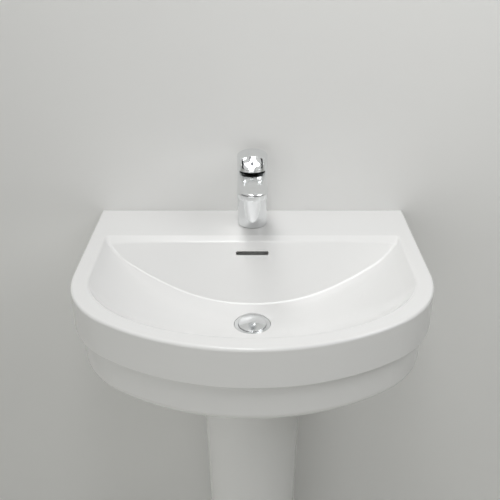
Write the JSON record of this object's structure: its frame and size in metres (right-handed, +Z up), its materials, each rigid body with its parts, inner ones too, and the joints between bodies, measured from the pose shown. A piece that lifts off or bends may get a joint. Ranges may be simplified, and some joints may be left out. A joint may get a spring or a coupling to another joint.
{
  "type": "pedestal hand basin",
  "caption": "D-shaped ceramic hand basin on a full pedestal, with a chrome single-lever mixer, push-open waste, overflow slot and bottle trap.",
  "frame": {"origin": "on the floor, at the centre of the footprint of the whole object, midway between the wall face and the front of the rim", "axes": "+Z up, +Y from the front of the basin to the wall, +X to the right as seen from the front"},
  "size_m": [0.6, 0.4699, 0.9905],
  "materials": {
    "glazed_white": "glossy white glaze",
    "chrome": "polished chrome plate",
    "trap_white": "white polypropylene",
    "rubber_black": "soft rubber",
    "foam_grey": "closed-cell foam strip",
    "brass": "turned brass",
    "steel": "bare steel",
    "plastic_grey": "moulded plastic",
    "disc_ceramic": "lapped ceramic"
  },
  "bodies": {
    "fixed": {"basin": "glazed_white", "pedestal": "glazed_white", "pedestal_gasket": "foam_grey", "waste_body": "chrome", "waste_flange_seal": "rubber_black", "waste_lower_seal": "rubber_black", "waste_slip_washer": "plastic_grey", "waste_back_nut": "brass", "plug_spring": "steel", "click_body": "plastic_grey", "trap_inlet_nut": "trap_white", "trap_inlet_washer": "rubber_black", "trap_dip_tube": "trap_white", "trap_body": "trap_white", "trap_top_nut": "trap_white", "trap_top_seal": "rubber_black", "trap_outlet_nut": "trap_white", "trap_outlet_seal": "rubber_black", "trap_cup": "trap_white", "trap_cup_seal": "rubber_black", "trap_outlet_pipe": "trap_white", "wall_rosette": "trap_white", "mixer_body": "chrome", "mixer_base_seal": "rubber_black", "mixer_stud": "steel", "mixer_rubber": "rubber_black", "mixer_clamp": "steel", "mixer_nut": "brass", "aerator_sleeve": "chrome", "aerator_insert": "plastic_grey", "aerator_seal": "rubber_black", "cartridge_housing": "plastic_grey", "cartridge_seals": "rubber_black", "fixed_disc": "disc_ceramic", "cartridge_nut": "brass", "trim_ring": "chrome"},
    "carrier": {"spindle_carrier": "plastic_grey", "pivot_pin": "steel"},
    "handle": {"spindle": "brass", "lever_handle": "chrome", "grub_screw": "steel", "lever_indicator": "plastic_grey"},
    "discs": {"moving_disc": "disc_ceramic", "disc_driver": "plastic_grey"},
    "plug": {"plug_cap": "chrome", "plug_seal": "rubber_black", "plug_stem": "brass", "latch_sleeve": "plastic_grey"}
  },
  "joints": [
    {"name": "handle_swivel", "type": "hinge", "parent": "fixed", "child": "carrier", "pos_m": [0, 0.1796, 0.948], "axis": [0, 0, 1], "range_deg": [-45, 45]},
    {"name": "handle_lift", "type": "hinge", "parent": "carrier", "child": "handle", "pos_m": [0, 0.1796, 0.948], "axis": [-1, 0, 0], "range_deg": [0, 22]},
    {"name": "disc_slide", "type": "slide", "parent": "carrier", "child": "discs", "axis": [0, -1, 0], "range_m": [0, 0.0064]},
    {"name": "plug_slide", "type": "slide", "parent": "fixed", "child": "plug", "axis": [0, 0, 1], "range_m": [0, 0.008], "deforming": ["plug_spring"]}
  ],
  "couplings": [
    {"joint": "disc_slide", "follows": "handle_lift", "m_per_rad": 0.016}
  ]
}
